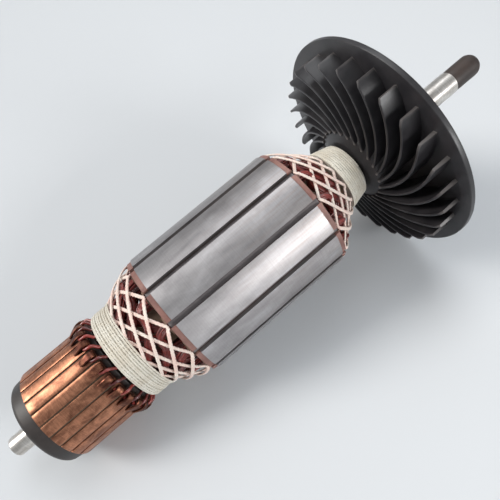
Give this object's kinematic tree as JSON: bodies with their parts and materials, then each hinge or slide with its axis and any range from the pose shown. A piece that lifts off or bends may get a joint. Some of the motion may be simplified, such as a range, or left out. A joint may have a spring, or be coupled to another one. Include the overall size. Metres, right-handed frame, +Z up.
{
  "type": "motor armature",
  "caption": "Wound motor armature: laminated core with laced windings, hook-type copper commutator and a shaft that carries a swept-blade cooling fan.",
  "frame": {"origin": "centre of the bounding box at floor level, with the armature lying as it rests, on the rim of its fan and the front edge of its commutator", "axes": "+X from the commutator end to the drive end of the shaft, which is raised by 10.3 degrees, +Z up"},
  "size_m": [0.2414, 0.098, 0.0967],
  "materials": {
    "ground_steel": "ground bright steel",
    "laminated_steel": "ground laminated steel with faint laminations",
    "copper": "worn hard copper, slightly tarnished",
    "enamelled_wire": "dark red-brown enamelled copper wire under varnish",
    "mica": "undercut mica",
    "phenolic": "dark brown moulded phenolic",
    "insulating_plate": "varnished pink-brown fibre",
    "slot_paper": "varnished slot paper",
    "wedge_fibre": "dark grey fibre wedge",
    "insulation_tube": "moulded insulating tube",
    "lacing_cord": "off-white varnished cotton cord",
    "binding_cord": "off-white varnished cord binding",
    "fan_plastic": "satin black moulded plastic",
    "cap_plastic": "dark brown-black soft plastic"
  },
  "bodies": {
    "root": {"shaft": "ground_steel", "shaft_end_cap": "cap_plastic", "lamination_stack": "laminated_steel", "shaft_insulation_tube": "insulation_tube", "front_end_plate": "insulating_plate", "rear_end_plate": "insulating_plate", "slot_liners": "slot_paper", "slot_wedges": "wedge_fibre", "coil_01": "enamelled_wire", "coil_02": "enamelled_wire", "coil_03": "enamelled_wire", "coil_04": "enamelled_wire", "coil_05": "enamelled_wire", "coil_06": "enamelled_wire", "coil_07": "enamelled_wire", "coil_08": "enamelled_wire", "coil_09": "enamelled_wire", "coil_10": "enamelled_wire", "coil_11": "enamelled_wire", "coil_12": "enamelled_wire", "lead_wires": "enamelled_wire", "commutator_hub": "phenolic", "mica_strips": "mica", "commutator_bar_01": "copper", "commutator_bar_02": "copper", "commutator_bar_03": "copper", "commutator_bar_04": "copper", "commutator_bar_05": "copper", "commutator_bar_06": "copper", "commutator_bar_07": "copper", "commutator_bar_08": "copper", "commutator_bar_09": "copper", "commutator_bar_10": "copper", "commutator_bar_11": "copper", "commutator_bar_12": "copper", "commutator_bar_13": "copper", "commutator_bar_14": "copper", "commutator_bar_15": "copper", "commutator_bar_16": "copper", "commutator_bar_17": "copper", "commutator_bar_18": "copper", "commutator_bar_19": "copper", "commutator_bar_20": "copper", "commutator_bar_21": "copper", "commutator_bar_22": "copper", "commutator_bar_23": "copper", "commutator_bar_24": "copper", "front_binding_band": "binding_cord", "front_lacing_net": "lacing_cord", "rear_binding_band": "binding_cord", "rear_lacing_net": "lacing_cord", "fan": "fan_plastic"}
  },
  "joints": []
}
